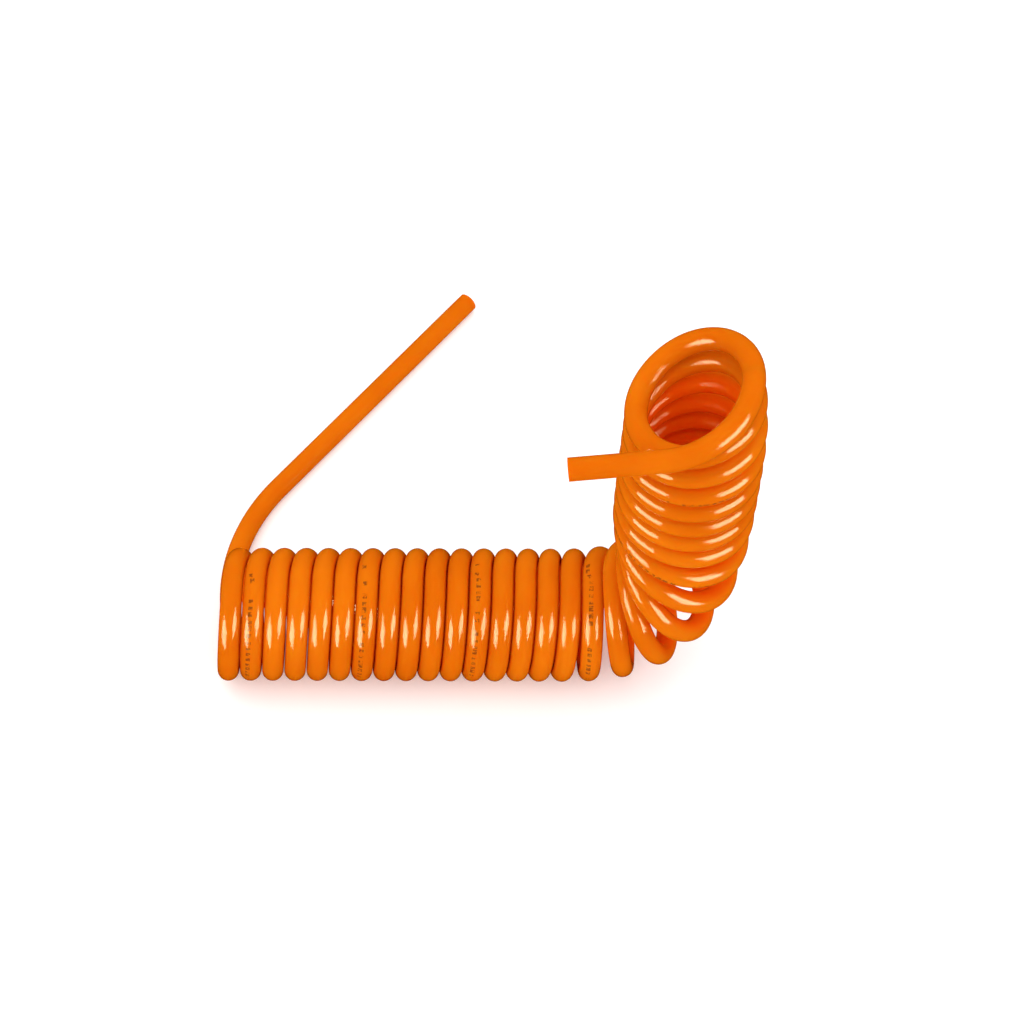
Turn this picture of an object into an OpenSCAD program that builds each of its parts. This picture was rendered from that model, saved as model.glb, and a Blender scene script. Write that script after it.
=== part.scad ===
// Coiled polyurethane air hose, 8 x 5 mm, wound left-handed to 50 mm, with two plain cut ends.
// The coil lies along +X on its first stretch, then curls up into a stack of leaning turns.
// Frame: X along the lying stretch, Y away from the near side, Z up, with the origin on the
// surface that the hose lies on, under the middle of its outline.
// Each turn is one plain ring of hose, so the turns can move on each other. The two end
// lengths are hollow, with the real bore.

/* [Hose] */
// Outer diameter of the hose
hose_od = 8; // [6:0.5:10]
// Bore of the hose
hose_id = 5; // [3:0.5:6.5]

/* [Coil] */
// Outside diameter of the coil
coil_od = 50; // [44:1:60]
// Number of whole turns
turn_count = 29; // [26:1:32]
// Distance from one closed turn to the next
pitch = 8.35; // [8.3:0.05:9]

/* [Bend of the turns] */
// Turn at which the turns start to tilt up
tilt_start = 14.2; // [12:0.1:16]
// Turns that the tilt takes
tilt_turns = 9.5; // [7:0.1:13]
// Angle that the turns tilt through
tilt_angle = 86; // [60:1:100]
// Further tilt of each turn on the last, from the middle of the bend on
tilt_lean = 1.45; // [0:0.05:2]
// Turns at the top that fan out
fan_turns = 4.4; // [3:0.1:8]
// Angle that they fan out through
fan_angle = 16; // [0:1:30]

/* [Bend of the coil's axis] */
// Turn at which the axis starts to rise
rise_start = 14.15; // [12:0.05:16]
// Turns that the rise takes
rise_turns = 7.1; // [6:0.1:12]
// Angle that the axis rises through
rise_angle = 88.5; // [60:0.5:100]
// Further angle of the axis where the top turns fan out
rise_fan = 7.5; // [0:0.5:20]

/* [Inlet end] */
// Radius of the first bend out of the coil, at the middle of the hose
inlet_out_r = 84; // [50:1:150]
// Angle of that bend, away from the coil
inlet_out_angle = 9; // [4:0.5:16]
// Radius of the second bend, at the middle of the hose
inlet_bend_r = 76; // [40:1:120]
// Angle of the second bend, back across behind the coil
inlet_bend_angle = 47; // [20:0.5:60]
// Straight length up to the cut end
inlet_straight = 121; // [40:1:160]

/* [Outlet end] */
// Radius of the last arc, which opens out of the coil
outlet_arc_r = 27.5; // [21:0.5:35]
// Angle of the last arc
outlet_arc_angle = 88; // [60:1:110]
// Radius of the outlet's bend, at the middle of the hose
outlet_bend_r = 24; // [20:1:60]
// Angle of the outlet's bend
outlet_bend_angle = 13.5; // [5:0.5:30]
// Straight length up to the cut end
outlet_straight = 30.5; // [20:0.5:60]

/* [Hidden] */
$fn = 64;
// radius of the coil at the middle of the hose
coil_r = (coil_od - hose_od) / 2;
// the first and the last ring stay open, so that they clear the hose beside them
first_arc = 300;
last_arc = 140;
// the fan's smooth step is this much longer than its turns, so that it still rises at the top
fan_run = 1.3;
hose_colour = [1.00, 0.42, 0.02];
other_colour = [0.93, 0.30, 0.03];

// --- the coil's own axis, walked half a turn at a time in the XZ plane ---
// A smooth step from 0 to 1.
function smooth(u) =
    let (v = min(max(u, 0), 1))
    v - sin(360 * v) / (2 * PI);
function fan_share(t) = smooth((t - turn_count + fan_turns) / (fan_run * fan_turns));
// Tilt of the turns, and heading of the coil's axis, at turn t, in degrees.
function tilt_at(t) =
    tilt_angle * smooth((t - tilt_start) / tilt_turns)
    + fan_angle * fan_share(t)
    + tilt_lean * max(0, t - tilt_start - tilt_turns / 2);
function rise_at(t) =
    rise_angle * smooth((t - rise_start) / rise_turns) + rise_fan * fan_share(t);
// Closed turns touch on the inside of the bend, so the axis moves on by more where they tilt,
// and by more again where they slide across each other.
function half_length(i) =
    (pitch / 2 + coil_r * (tilt_at((i + 1) / 2) - tilt_at(i / 2)) * PI / 180)
    / cos((tilt_at(i / 2) + tilt_at((i + 1) / 2)) / 2 - rise_at((i + 0.5) / 2));
// One step along the axis: [x, z].
function step(s, i) =
    s + half_length(i) * [cos(rise_at((i + 0.5) / 2)), sin(rise_at((i + 0.5) / 2))];
stations = [for (i = 0, s = [0, coil_od / 2]; i <= 2 * turn_count + 2; s = step(s, i), i = i + 1) s];

// The middle of the hose at half turn i, on the coil's low side (-1) or high side (+1).
function hose_point(i, side) = [
    stations[i][0] - side * coil_r * sin(tilt_at(i / 2)), 0,
    stations[i][1] + side * coil_r * cos(tilt_at(i / 2))
];
// Low point of the hose before turn k, and the high point half a turn later.
function low_point(k) = hose_point(2 * k, -1);
function high_point(k) = hose_point(2 * k + 1, 1);
// Ring k lies in the plane of those two points, square to the XZ plane.
function ring_centre(k) = (low_point(k) + high_point(k)) / 2;
function ring_r(k) = norm(high_point(k) - low_point(k)) / 2;
function ring_tilt(k) =
    atan2(low_point(k)[0] - high_point(k)[0], high_point(k)[2] - low_point(k)[2]);
// Reach of ring k to either side along X.
function ring_reach(k) = hose_od / 2 + ring_r(k) * abs(sin(ring_tilt(k)));

// --- the inlet: out of the coil along the surface, away from it, and back across behind it ---
out_dir = [-sin(inlet_out_angle), cos(inlet_out_angle), 0];
out_side = [cos(inlet_out_angle), sin(inlet_out_angle), 0];
inlet_out = [
    -inlet_out_r * (1 - cos(inlet_out_angle)),
    inlet_out_r * sin(inlet_out_angle),
    hose_od / 2
];
inlet_dir = cos(inlet_bend_angle) * out_dir + sin(inlet_bend_angle) * out_side;
inlet_mid = inlet_out + inlet_bend_r
    * (sin(inlet_bend_angle) * out_dir + (1 - cos(inlet_bend_angle)) * out_side);
inlet_tip = inlet_mid + inlet_straight * inlet_dir;

// --- the outlet: in is from the last low point to its ring's middle, up is square to the ring ---
last = turn_count;
out_in = [-sin(ring_tilt(last)), 0, cos(ring_tilt(last))];
out_up = [cos(ring_tilt(last)), 0, sin(ring_tilt(last))];
arc_middle = low_point(last) + outlet_arc_r * out_in;
arc_dir = [0, -cos(outlet_arc_angle), 0] + sin(outlet_arc_angle) * out_in;
arc_end = arc_middle
    + outlet_arc_r * (-cos(outlet_arc_angle) * out_in - [0, sin(outlet_arc_angle), 0]);
outlet_dir = cos(outlet_bend_angle) * arc_dir + sin(outlet_bend_angle) * out_up;
outlet_mid = arc_end + outlet_bend_r
    * (sin(outlet_bend_angle) * arc_dir + (1 - cos(outlet_bend_angle)) * out_up);
outlet_tip = outlet_mid + outlet_straight * outlet_dir;

// --- the outline, for the origin ---
function rim(d) = hose_od / 2 * sqrt(1 - d * d);
// the inlet's lowest X is where its second bend heads straight back
x_low = inlet_out[0] - inlet_bend_r * (1 - cos(inlet_out_angle)) - hose_od / 2;
x_high = max([for (k = [0:last]) ring_centre(k)[0] + ring_reach(k)]);
y_low = min(
    -max([for (k = [0:last]) ring_r(k)]) - hose_od / 2,
    outlet_arc_angle < 90 ? outlet_tip[1] - rim(outlet_dir[1]) : -outlet_arc_r - hose_od / 2
);
y_high = inlet_tip[1] + rim(inlet_dir[1]);
origin_shift = [-(x_low + x_high) / 2, -(y_low + y_high) / 2, 0];

TURNS = [for (k = [1:turn_count + 1]) str("turn_", k < 10 ? "0" : "", k)];

// A stretch of ring: radius r at the middle of the hose, through angle a from +X.
module hose_arc(r, a, hollow = false) {
    rotate_extrude(angle = a, $fn = 96)
        translate([r, 0])
            difference() {
                circle(d = hose_od);
                if (hollow)
                    circle(d = hose_id);
            }
}

module hose_tube(length) {
    difference() {
        cylinder(d = hose_od, h = length);
        cylinder(d = hose_id, h = length);
    }
}

// Moves a shape so that its X, Y and Z lie along the given directions, from the point p.
module place(x, y, z, p) {
    multmatrix([
        [x[0], y[0], z[0], p[0]],
        [x[1], y[1], z[1], p[1]],
        [x[2], y[2], z[2], p[2]],
        [0, 0, 0, 1]
    ])
        children();
}

// The place of ring k: its X points from the middle to the low point, its Y to the near side.
module on_ring(k) {
    in = [-sin(ring_tilt(k)), 0, cos(ring_tilt(k))];
    up = [cos(ring_tilt(k)), 0, sin(ring_tilt(k))];
    place(-in, [0, -1, 0], -up, ring_centre(k))
        children();
}

// Turn k + 1 of the coil: a whole ring, or an open one at either end of the coil.
module turn(k) {
    color(k % 2 == 0 ? hose_colour : other_colour)
        translate(origin_shift)
            on_ring(k)
                if (k == 0)
                    hose_arc(ring_r(k), first_arc);
                else if (k == last)
                    rotate([0, 0, -last_arc])
                        hose_arc(ring_r(k), last_arc);
                else
                    hose_arc(ring_r(k), 360);
}

// From the first turn's low point, back along the surface and away from the coil.
module inlet_lead_in() {
    color(hose_colour)
        translate(origin_shift + [-inlet_out_r, 0, hose_od / 2])
            hose_arc(inlet_out_r, inlet_out_angle, hollow = true);
}

module inlet_bend() {
    color(hose_colour)
        translate(origin_shift + inlet_out + inlet_bend_r * out_side)
            rotate([0, 0, 180 + inlet_out_angle - inlet_bend_angle])
                hose_arc(inlet_bend_r, inlet_bend_angle, hollow = true);
}

module inlet_end() {
    color(hose_colour)
        translate(origin_shift + inlet_mid)
            rotate([-90, 0, inlet_out_angle - inlet_bend_angle])
                hose_tube(inlet_straight);
}

// The last arc, from the last low point round the near side, wider than the coil.
module outlet_arc() {
    color(hose_colour)
        translate(origin_shift)
            place(-out_in, [0, -1, 0], -out_up, arc_middle)
                hose_arc(outlet_arc_r, outlet_arc_angle, hollow = true);
}

// From the end of the last arc, a slight bend that lifts the hose to level.
module outlet_bend() {
    color(hose_colour)
        translate(origin_shift)
            place(-out_up, arc_dir, cross(-out_up, arc_dir), arc_end + outlet_bend_r * out_up)
                hose_arc(outlet_bend_r, outlet_bend_angle, hollow = true);
}

module outlet_end() {
    up = cos(outlet_bend_angle) * out_up - sin(outlet_bend_angle) * arc_dir;
    color(hose_colour)
        translate(origin_shift)
            place(up, cross(outlet_dir, up), outlet_dir, outlet_mid)
                hose_tube(outlet_straight);
}

for (k = [0:last])
    turn(k);
inlet_lead_in();  // inlet_lead
inlet_bend();
inlet_end();
outlet_arc();
outlet_bend();
outlet_end();
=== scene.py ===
"""Coiled polyurethane air hose: the looks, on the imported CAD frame. Lengths are in mm until `m()`."""

import math

import bpy
import numpy as np
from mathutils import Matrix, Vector


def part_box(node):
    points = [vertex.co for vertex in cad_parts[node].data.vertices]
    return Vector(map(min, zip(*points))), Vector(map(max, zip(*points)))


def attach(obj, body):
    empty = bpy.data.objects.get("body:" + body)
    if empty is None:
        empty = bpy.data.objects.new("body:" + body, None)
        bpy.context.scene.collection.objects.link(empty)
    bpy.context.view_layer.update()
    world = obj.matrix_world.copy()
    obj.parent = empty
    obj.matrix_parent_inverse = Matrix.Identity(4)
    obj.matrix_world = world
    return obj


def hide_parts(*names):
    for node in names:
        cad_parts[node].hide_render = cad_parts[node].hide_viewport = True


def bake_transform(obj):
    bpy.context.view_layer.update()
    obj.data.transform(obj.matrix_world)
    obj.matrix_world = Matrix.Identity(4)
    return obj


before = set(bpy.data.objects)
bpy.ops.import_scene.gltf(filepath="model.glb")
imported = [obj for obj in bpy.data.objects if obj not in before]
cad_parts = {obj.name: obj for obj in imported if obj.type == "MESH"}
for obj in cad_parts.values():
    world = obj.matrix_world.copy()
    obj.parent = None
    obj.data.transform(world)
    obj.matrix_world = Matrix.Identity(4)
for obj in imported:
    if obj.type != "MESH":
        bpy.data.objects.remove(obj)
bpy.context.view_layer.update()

# ---------------------------------------------------------------- the hose's own numbers, as in part.scad
HOSE_R, BORE_R = 4.0, 2.5
COIL_OD = 50.0
TURNS = 29
PITCH = 8.35
TILT_START, TILT_TURNS, TILT_ANGLE, TILT_LEAN = 14.2, 9.5, 86.0, 1.45
FAN_TURNS, FAN_ANGLE, FAN_RUN = 4.4, 16.0, 1.3
RISE_START, RISE_TURNS, RISE_ANGLE, RISE_FAN = 14.15, 7.1, 88.5, 7.5
INLET_OUT_R, INLET_OUT_ANGLE = 84.0, math.radians(9.0)
INLET_BEND_R, INLET_BEND_ANGLE, INLET_STRAIGHT = 76.0, math.radians(47.0), 121.0
OUTLET_ARC_R, OUTLET_ARC_ANGLE = 27.5, math.radians(88.0)
OUTLET_BEND_R, OUTLET_BEND_ANGLE, OUTLET_STRAIGHT = 24.0, math.radians(13.5), 30.5
COIL_R = COIL_OD / 2 - HOSE_R
X, Y, Z = np.eye(3)


def smooth(u):
    """A smooth step from 0 to 1."""
    v = min(max(u, 0.0), 1.0)
    return v - math.sin(math.tau * v) / math.tau


def fan_share(t):
    return smooth((t - TURNS + FAN_TURNS) / (FAN_RUN * FAN_TURNS))


def tilt_at(t):
    """Tilt of the coil's turns at turn t, in radians."""
    lean = TILT_LEAN * max(0.0, t - TILT_START - TILT_TURNS / 2)
    return math.radians(TILT_ANGLE * smooth((t - TILT_START) / TILT_TURNS) + FAN_ANGLE * fan_share(t) + lean)


def rise_at(t):
    """Heading of the coil's axis at turn t, in radians."""
    return math.radians(RISE_ANGLE * smooth((t - RISE_START) / RISE_TURNS) + RISE_FAN * fan_share(t))


def walk_axis():
    """The middle of the coil before each half turn, in the XZ plane."""
    station, out = COIL_OD / 2 * Z, []
    for i in range(2 * TURNS + 2):
        out.append(station)
        tilt, next_tilt, rise = tilt_at(i / 2), tilt_at((i + 1) / 2), rise_at((i + 0.5) / 2)
        length = (PITCH / 2 + COIL_R * (next_tilt - tilt)) / math.cos((tilt + next_tilt) / 2 - rise)
        station = station + length * (math.cos(rise) * X + math.sin(rise) * Z)
    return out


STATIONS = walk_axis()


def coil_point(i, side):
    """The hose's middle at half turn i, on the coil's low side (-1) or high side (+1)."""
    tilt = tilt_at(i / 2)
    return STATIONS[i] + side * COIL_R * (math.cos(tilt) * Z - math.sin(tilt) * X)


LOW = [coil_point(2 * k, -1) for k in range(TURNS + 1)]
HIGH = [coil_point(2 * k + 1, 1) for k in range(TURNS + 1)]


def arc(middle, start, along, angle, steps):
    """Points on an arc about middle from start, which first heads along, through angle in radians."""
    t = np.linspace(0, angle, steps + 1)[:, None]
    spoke = start - middle
    return middle + spoke * np.cos(t) + along * np.linalg.norm(spoke) * np.sin(t)


def straight(start, end, steps):
    return start + (end - start) * np.linspace(0, 1, steps + 1)[:, None]


def joined(*parts):
    """Stretches of a path, end to end, without the doubled points."""
    return np.concatenate([parts[0]] + [p[1:] for p in parts[1:]])


def turned(a, b, angle):
    """The direction a, turned by angle towards b."""
    return a * math.cos(angle) + b * math.sin(angle)


# the inlet, from the first low point to its cut end: away from the coil, then back across behind it
out_dir, out_side = turned(Y, -X, INLET_OUT_ANGLE), turned(X, Y, INLET_OUT_ANGLE)
inlet_out = arc(LOW[0] - INLET_OUT_R * X, LOW[0], Y, INLET_OUT_ANGLE, 8)
inlet_bend = arc(inlet_out[-1] + INLET_BEND_R * out_side, inlet_out[-1], out_dir, INLET_BEND_ANGLE, 28)
inlet_tip = inlet_bend[-1] + INLET_STRAIGHT * turned(out_dir, out_side, INLET_BEND_ANGLE)
inlet_path = joined(inlet_out, inlet_bend, straight(inlet_bend[-1], inlet_tip, 30))[::-1]

# the outlet, from the last low point: in is from there to its ring's middle, up is square to the ring
last_in = (HIGH[-1] - LOW[-1]) / np.linalg.norm(HIGH[-1] - LOW[-1])
last_up = np.array([last_in[2], 0.0, -last_in[0]])
outlet_middle = LOW[-1] + OUTLET_ARC_R * last_in
outlet_arc = arc(outlet_middle, LOW[-1], -Y, OUTLET_ARC_ANGLE, 24)
arc_dir = turned(-Y, last_in, OUTLET_ARC_ANGLE)
outlet_bend = arc(outlet_arc[-1] + OUTLET_BEND_R * last_up, outlet_arc[-1], arc_dir, OUTLET_BEND_ANGLE, 8)
outlet_tip = outlet_bend[-1] + OUTLET_STRAIGHT * turned(arc_dir, last_up, OUTLET_BEND_ANGLE)
outlet_path = joined(outlet_arc, outlet_bend, straight(outlet_bend[-1], outlet_tip, 12))

# the shift to the row frame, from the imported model's own second turn
corners = np.array(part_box("turn_02")) * 1000
SHIFT = corners.mean(axis=0) - (LOW[1] + HIGH[1]) / 2


def m(points):
    """Row-frame metres."""
    return (np.asarray(points, float) + SHIFT) / 1000


# ---------------------------------------------------------------- camera
camera = bpy.data.objects.new("camera", bpy.data.cameras.new("camera"))
bpy.context.scene.collection.objects.link(camera)
bpy.context.scene.camera = camera
TARGET = Vector(m((107.68, 2.2, 91.34)).tolist())
AZIMUTH, ELEVATION, DISTANCE = math.radians(-0.21), math.radians(56.14), 0.9018
look = Vector((
    math.sin(AZIMUTH) * math.cos(ELEVATION),
    math.cos(AZIMUTH) * math.cos(ELEVATION),
    -math.sin(ELEVATION),
))
camera.location = TARGET - look * DISTANCE
camera.rotation_euler = look.to_track_quat("-Z", "Y").to_euler()
camera.data.sensor_width = 36
camera.data.lens = 89.16
camera.data.clip_start = 0.01


# ---------------------------------------------------------------- materials
# the plastic's colours and a painted glow, linear
DEEP = (0.66, 0.133, 0.0018)
BRIGHT = (0.74, 0.173, 0.0032)
PALE = (0.74, 0.19, 0.009)
# painted glow: the red painted on towards the inside of the coil, standing in for light coming through the plastic
PAINTED_GLOW = (0.94, 0.112, 0.0014)
INK = (0.03, 0.012, 0.008)
INK_STRENGTH = 0.62
# a painted glow, redder on the turns' sides towards the inside of the coil, painted in for light coming through the
# plastic: where it fades in and out, in metres along the hose, and where it starts and is full, as shares of the way
# round the hose from its outermost line
GLOW_START, GLOW_END, GLOW_FADE = 0.1965, 3.78, 0.12
GLOW_FROM, GLOW_TO = 0.14, 0.32
# roughness along the draw lines, and what a rubbed patch adds
ROUGH_LOW, ROUGH_HIGH, ROUGH_RUBBED = 0.05, 0.10, 0.05
# dark marks: one run of them in each period, metres along the hose
MARK_PERIOD, MARK_RUN, MARK_STEP, MARK_OFFSET = 0.663, 0.046, 0.0022, 0.3074
# their width in mm, their place round the hose, the share of steps left empty, and their lengths in steps
MARK_WIDTH, MARK_SIDE = 1.7, 0.46
MARK_GAPS, MARK_SHORTEST, MARK_LONGEST = 0.18, 0.25, 0.85


def new_material(name):
    mat = bpy.data.materials.new(name)
    mat.use_nodes = True
    tree = mat.node_tree
    return mat, tree, tree.nodes["Principled BSDF"]


def math_node(tree, operation, *values):
    node = tree.nodes.new("ShaderNodeMath")
    node.operation = operation
    for socket, value in zip(node.inputs, values):
        if isinstance(value, (int, float)):
            socket.default_value = value
        else:
            tree.links.new(value, socket)
    return node.outputs[0]


def noise(tree, vector, scale, detail=3.0, roughness=0.55):
    node = tree.nodes.new("ShaderNodeTexNoise")
    tree.links.new(vector, node.inputs["Vector"])
    node.inputs["Scale"].default_value = scale
    node.inputs["Detail"].default_value = detail
    node.inputs["Roughness"].default_value = roughness
    return node.outputs["Fac"]


def ramp(tree, value, low, high, out_low=0.0, out_high=1.0):
    node = tree.nodes.new("ShaderNodeMapRange")
    tree.links.new(value, node.inputs["Value"])
    for name, v in (("From Min", low), ("From Max", high), ("To Min", out_low), ("To Max", out_high)):
        node.inputs[name].default_value = v
    return node.outputs["Result"]


def mix(tree, share, a, b):
    node = tree.nodes.new("ShaderNodeMix")
    node.data_type = "RGBA"
    for name, value in (("Factor", share), ("A", a), ("B", b)):
        socket = [s for s in node.inputs if s.name == name and s.enabled][0]
        if isinstance(value, (int, float)):
            socket.default_value = value
        elif isinstance(value, tuple):
            socket.default_value = (*value, 1.0)
        else:
            tree.links.new(value, socket)
    return [s for s in node.outputs if s.enabled][0]


def bump(tree, height, strength, distance):
    node = tree.nodes.new("ShaderNodeBump")
    tree.links.new(height, node.inputs["Height"])
    node.inputs["Strength"].default_value = strength
    node.inputs["Distance"].default_value = distance
    return node.outputs["Normal"]


def away(tree, value, middle):
    """How far value is from middle, either way."""
    return math_node(tree, "ABSOLUTE", math_node(tree, "SUBTRACT", value, middle))


def mark_share(tree, u, v, place):
    """Where the dark marks are: generic ones in place of the printed lettering, partly worn away."""
    periods = math_node(tree, "DIVIDE", math_node(tree, "ADD", u, MARK_OFFSET), MARK_PERIOD)
    in_run = math_node(tree, "LESS_THAN", math_node(tree, "FRACT", periods), MARK_RUN / MARK_PERIOD)
    cell = math_node(tree, "DIVIDE", u, MARK_STEP)
    white = tree.nodes.new("ShaderNodeTexWhiteNoise")
    white.noise_dimensions = "1D"
    tree.links.new(math_node(tree, "FLOOR", cell), white.inputs["W"])
    chance = white.outputs["Value"]
    mark = math_node(tree, "LESS_THAN", math_node(tree, "FRACT", cell),
                     ramp(tree, chance, 0.0, 1.0, MARK_SHORTEST, MARK_LONGEST))
    mark = math_node(tree, "MULTIPLY", mark, math_node(tree, "GREATER_THAN", chance, MARK_GAPS))
    across = math_node(tree, "LESS_THAN", away(tree, v, MARK_SIDE), MARK_WIDTH / (2 * math.tau * HOSE_R))
    worn = ramp(tree, noise(tree, place, 900.0, 2.0), 0.40, 0.55)
    return math_node(tree, "MULTIPLY", math_node(tree, "MULTIPLY", in_run, mark),
                     math_node(tree, "MULTIPLY", across, worn))


def hose_material():
    """Glossy polyurethane. UV: u is metres along the hose, v is the share of the way round, 0.5 outermost."""
    mat, tree, shader = new_material("hose_polyurethane")
    uv = tree.nodes.new("ShaderNodeUVMap")
    uv.uv_map = "along"
    split = tree.nodes.new("ShaderNodeSeparateXYZ")
    tree.links.new(uv.outputs[0], split.inputs[0])
    u, v = split.outputs[0], split.outputs[1]
    place = tree.nodes.new("ShaderNodeTexCoord").outputs["Object"]

    # the body colour: slow drift along the hose, and fine cloudiness in the plastic
    drift = noise(tree, place, 22.0, 2.0)
    cloud = noise(tree, place, 420.0, 4.0, 0.6)
    colour = mix(tree, ramp(tree, drift, 0.35, 0.65), DEEP, BRIGHT)
    colour = mix(tree, ramp(tree, cloud, 0.55, 0.75, 0.0, 0.10), colour, PALE)

    # painted glow: deeper and redder towards the inside of the coil, painted in for light coming through more of the
    # plastic there
    inward_glow = ramp(tree, away(tree, v, 0.5), GLOW_FROM, GLOW_TO)
    coiled_glow = math_node(tree, "MULTIPLY", ramp(tree, u, GLOW_START, GLOW_START + GLOW_FADE),
                       ramp(tree, u, GLOW_END, GLOW_END + GLOW_FADE, 1.0, 0.0))
    colour = mix(tree, math_node(tree, "MULTIPLY", inward_glow, coiled_glow), colour, PAINTED_GLOW)

    ink = mark_share(tree, u, v, place)
    colour = mix(tree, math_node(tree, "MULTIPLY", ink, INK_STRENGTH), colour, INK)
    tree.links.new(colour, shader.inputs["Base Color"])

    # gloss: draw lines along the hose from the die, and faint rubbed patches
    stretched = tree.nodes.new("ShaderNodeMapping")
    stretched.inputs["Scale"].default_value = (6.0, 60.0, 1.0)
    tree.links.new(uv.outputs[0], stretched.inputs["Vector"])
    lines = noise(tree, stretched.outputs[0], 1.0, 3.0)
    rubbed = ramp(tree, noise(tree, place, 160.0, 5.0, 0.65), 0.56, 0.72)
    rough = math_node(tree, "ADD", ramp(tree, lines, 0.3, 0.7, ROUGH_LOW, ROUGH_HIGH),
                      math_node(tree, "MULTIPLY", rubbed, ROUGH_RUBBED))
    tree.links.new(rough, shader.inputs["Roughness"])
    height = math_node(tree, "ADD", math_node(tree, "MULTIPLY", lines, 0.6), math_node(tree, "MULTIPLY", cloud, 0.4))
    tree.links.new(bump(tree, height, 0.35, 0.0002), shader.inputs["Normal"])
    shader.inputs["IOR"].default_value = 1.5
    shader.inputs["Specular IOR Level"].default_value = 0.5
    shader.inputs["Specular Tint"].default_value = (1.0, 0.86, 0.50, 1.0)
    # light gets a little way into the plastic, so that the creases between turns glow
    shader.inputs["Subsurface Weight"].default_value = 0.6
    shader.inputs["Subsurface Radius"].default_value = (1.0, 0.22, 0.03)
    shader.inputs["Subsurface Scale"].default_value = 0.003
    return mat


def cut_material():
    """The cut ends and the bore: the same plastic, duller, with fine cut marks."""
    mat, tree, shader = new_material("hose_cut_face")
    place = tree.nodes.new("ShaderNodeTexCoord").outputs["Object"]
    wave = tree.nodes.new("ShaderNodeTexWave")
    wave.inputs["Scale"].default_value = 900.0
    wave.inputs["Distortion"].default_value = 3.0
    tree.links.new(place, wave.inputs["Vector"])
    grain = noise(tree, place, 1500.0, 3.0)
    tree.links.new(mix(tree, ramp(tree, grain, 0.35, 0.7), DEEP, BRIGHT), shader.inputs["Base Color"])
    tree.links.new(ramp(tree, grain, 0.3, 0.7, 0.42, 0.6), shader.inputs["Roughness"])
    tree.links.new(bump(tree, wave.outputs["Fac"], 0.2, 0.0001), shader.inputs["Normal"])
    shader.inputs["Specular IOR Level"].default_value = 0.2
    return mat


HOSE = hose_material()
CUT = cut_material()


# ---------------------------------------------------------------- the hose's mesh
SIDES = 28
STEPS = 44
# one more ring of points this far inside each end, so that shading runs on unbroken to the next piece
END_INSET = 0.12
TURN_INSET = math.radians(0.35)


def headings(path):
    """A unit heading for each path point."""
    heading = np.gradient(path, axis=0)
    heading[0], heading[-1] = path[1] - path[0], path[-1] - path[-2]
    return heading / np.linalg.norm(heading, axis=1)[:, None]


def with_insets(path):
    """The path with one more point just inside each end."""
    a, b = path[1] - path[0], path[-2] - path[-1]
    return np.concatenate([
        path[:1], path[:1] + a * END_INSET / np.linalg.norm(a), path[1:-1],
        path[-1:] + b * END_INSET / np.linalg.norm(b), path[-1:],
    ])


def tube_faces(n, lengths):
    """Faces of a hollow hose through n rings of points: outside, bore, then the two ends.

    Also the UV of each corner, the material of each face, and the edges round both rims.
    """
    outer, bore = 0, n * SIDES
    faces, uvs, material, rim = [], [], [], set()
    for first in (outer, bore):
        for i in range(n - 1):
            here, there = lengths[i] / 1000, lengths[i + 1] / 1000
            row, next_row = first + i * SIDES, first + (i + 1) * SIDES
            for j in range(SIDES):
                k = (j + 1) % SIDES
                quad = [row + j, row + k, next_row + k, next_row + j]
                v, next_v = j / SIDES, (j + 1) / SIDES
                uv = [(here, v), (here, next_v), (there, next_v), (there, v)]
                if first == bore:
                    quad, uv = quad[::-1], uv[::-1]
                faces.append(quad)
                uvs += uv
                material.append(0 if first == outer else 1)
    for end in (0, n - 1):
        out_row, in_row = outer + end * SIDES, bore + end * SIDES
        for j in range(SIDES):
            k = (j + 1) % SIDES
            quad = [out_row + k, out_row + j, in_row + j, in_row + k]
            faces.append(quad[::-1] if end else quad)
            uvs += [(lengths[end] / 1000, 0.5)] * 4
            material.append(1)
            rim |= {tuple(sorted((row + j, row + k))) for row in (out_row, in_row)}
    return faces, uvs, material, rim


def hose_piece(name, path, heading, outward, start_length):
    """A hollow length of hose along path, which starts start_length along the whole hose.

    outward is where v = 0.5 faces, for each path point. Also gives the length at each point.
    """
    n = len(path)
    lengths = start_length + np.concatenate([[0], np.cumsum(np.linalg.norm(np.diff(path, axis=0), axis=1))])
    spoke = outward - (outward * heading).sum(1)[:, None] * heading
    spoke /= np.linalg.norm(spoke, axis=1)[:, None]
    side = np.cross(heading, spoke)
    turn = (np.arange(SIDES) / SIDES - 0.5) * math.tau
    way = spoke[:, None] * np.cos(turn)[None, :, None] + side[:, None] * np.sin(turn)[None, :, None]
    verts = np.concatenate([(path[:, None] + radius * way).reshape(-1, 3) for radius in (HOSE_R, BORE_R)])
    faces, uvs, material, rim = tube_faces(n, lengths)

    mesh = bpy.data.meshes.new(name)
    mesh.from_pydata(m(verts).tolist(), [], faces)
    layer = mesh.uv_layers.new(name="along")
    layer.data.foreach_set("uv", np.array(uvs, np.float32).ravel())
    mesh.materials.append(HOSE)
    mesh.materials.append(CUT)
    mesh.polygons.foreach_set("material_index", material)
    ends = 2 * SIDES
    mesh.polygons.foreach_set("use_smooth", [True] * (len(faces) - ends) + [False] * ends)
    for edge in mesh.edges:
        edge.use_edge_sharp = tuple(sorted(edge.vertices)) in rim
    mesh.validate()
    mesh.update()
    obj = bpy.data.objects.new(name, mesh)
    bpy.context.scene.collection.objects.link(obj)
    return obj, lengths


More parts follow.
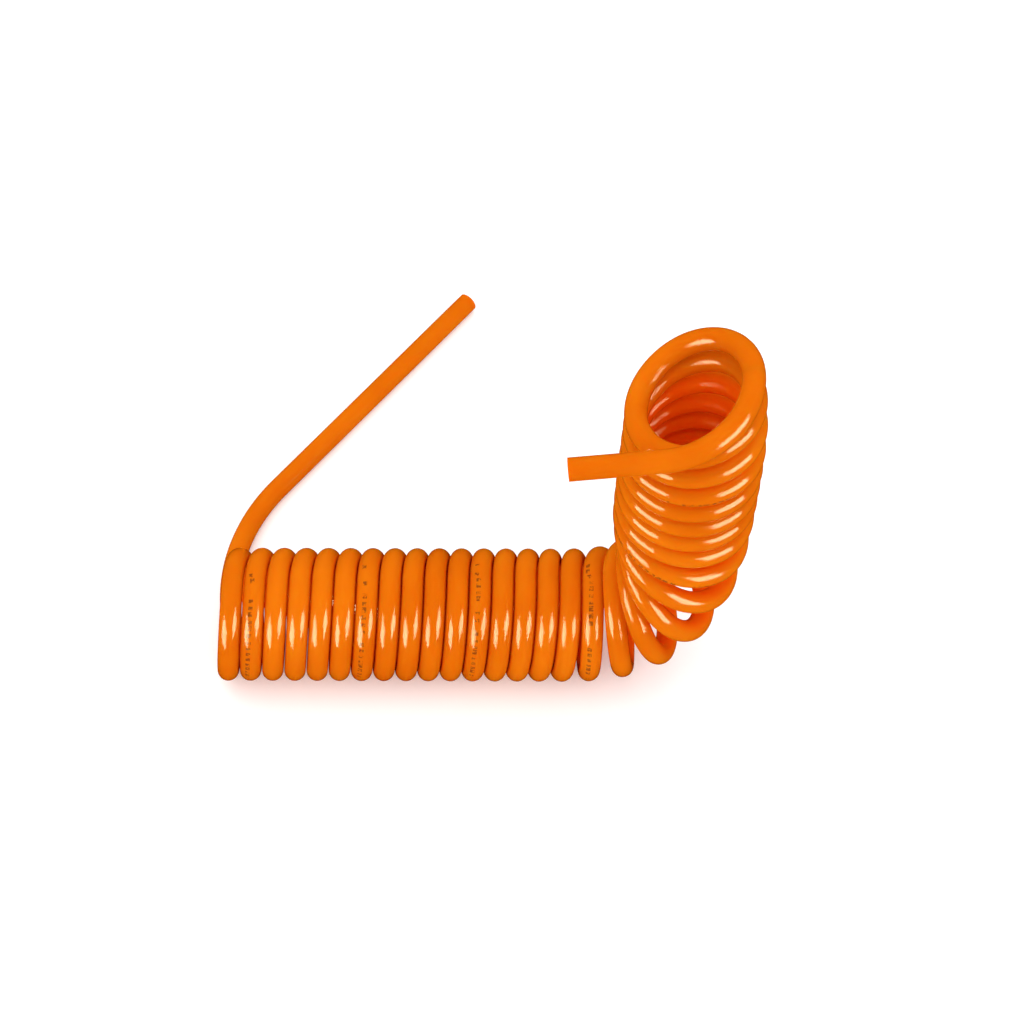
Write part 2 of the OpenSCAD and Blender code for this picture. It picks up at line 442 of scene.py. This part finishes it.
def turn_path(i):
    """Turn i of the coil: by the near side up to its high point, then by the far side down.

    Gives the path, its headings, which way is out from the coil, and the share of the turn.
    """
    even = np.linspace(0, math.pi, STEPS + 1)[1:-1]
    rising = np.concatenate([[0, TURN_INSET], even, [math.pi]])
    falling = np.concatenate([even, [math.pi - TURN_INSET, math.pi]])
    path, head, out = [], [], []
    for start, end, along, angles in ((LOW[i], HIGH[i], -Y, rising), (HIGH[i], LOW[i + 1], Y, falling)):
        middle = (start + end) / 2
        spoke = start - middle
        r = np.linalg.norm(spoke)
        for a in angles:
            path.append(middle + spoke * math.cos(a) + along * r * math.sin(a))
            head.append(-spoke / r * math.sin(a) + along * math.cos(a))
            out.append(path[-1] - middle)
    share = np.concatenate([rising, math.pi + falling]) / math.tau
    return np.array(path), np.array(head), np.array(out), share


# the inlet's end
path = with_insets(inlet_path)
heading = headings(path)
inlet, lengths = hose_piece("hose_inlet", path, heading, np.tile(-Z, (len(path), 1)), 0.0)
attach(inlet, "inlet_run")
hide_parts("inlet_lead", "inlet_bend", "inlet_end")
total = lengths[-1]

# the coil
for i in range(TURNS):
    path, heading, outward, share = turn_path(i)
    turn, lengths = hose_piece(f"hose_turn_{i + 1:02d}", path, heading, outward, total)
    total = lengths[-1]
    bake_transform(turn)
    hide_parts(f"turn_{i + 1:02d}")

# the outlet's end
path = with_insets(outlet_path)
heading = headings(path)
heading[0] = heading[1] = -Y
arc_points = len(outlet_arc) + 1
outward = path - outlet_middle
outward[arc_points:] = outward[arc_points]
outlet, lengths = hose_piece("hose_outlet", path, heading, outward, total)
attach(outlet, "outlet_run")
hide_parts("turn_30", "outlet_arc", "outlet_bend", "outlet_end")
print(f"hose length {lengths[-1] / 1000:.3f} m")

# ---------------------------------------------------------------- floor and light
floor_mat, tree, shader = new_material("floor")
shader.inputs["Base Color"].default_value = (0.93, 0.93, 0.93, 1)
shader.inputs["Roughness"].default_value = 0.85
# a little light of its own, so that the surface stays white close to the hose
shader.inputs["Emission Color"].default_value = (1, 1, 1, 1)
shader.inputs["Emission Strength"].default_value = 0.15
half = 4.0
mesh = bpy.data.meshes.new("floor")
mesh.from_pydata([(-half, -half, 0), (half, -half, 0), (half, half, 0), (-half, half, 0)], [], [(0, 1, 2, 3)])
mesh.materials.append(floor_mat)
floor = bpy.data.objects.new("floor", mesh)
bpy.context.scene.collection.objects.link(floor)
floor.visible_glossy = False

world = bpy.data.worlds.new("world")
bpy.context.scene.world = world
world.use_nodes = True
world.node_tree.nodes["Background"].inputs["Color"].default_value = (1, 1, 1, 1)
world.node_tree.nodes["Background"].inputs["Strength"].default_value = 0.97
world.cycles_visibility.glossy = False


LIT_POINT = Vector((0.01, -0.05, 0.06))


def soft_box(name, azimuth, elevation, distance, width, height, power, seen_in_gloss):
    """A soft box that faces the hose, in degrees, metres and watts. Azimuth 0 is the near side, 90 is +X.

    It is seen either in the gloss or in the diffuse light, not in both.
    """
    a, e = math.radians(azimuth), math.radians(elevation)
    data = bpy.data.lights.new(name, "AREA")
    data.shape = "RECTANGLE"
    data.size, data.size_y, data.energy = width, height, power
    light = bpy.data.objects.new(name, data)
    way = Vector((math.sin(a) * math.cos(e), -math.cos(a) * math.cos(e), math.sin(e)))
    light.location = LIT_POINT + way * distance
    light.rotation_euler = (-way).to_track_quat("-Z", "Y").to_euler()
    light.visible_glossy = seen_in_gloss
    light.visible_diffuse = not seen_in_gloss
    bpy.context.scene.collection.objects.link(light)


soft_box("left_box", -52, 10, 1.0, 0.75, 0.60, 18.0, True)
soft_box("right_box", 55, 17, 1.0, 0.70, 0.60, 17.0, True)
soft_box("top_box", 0, 75, 1.6, 2.2, 2.2, 17.0, False)

bpy.context.scene.view_settings.view_transform = "Standard"
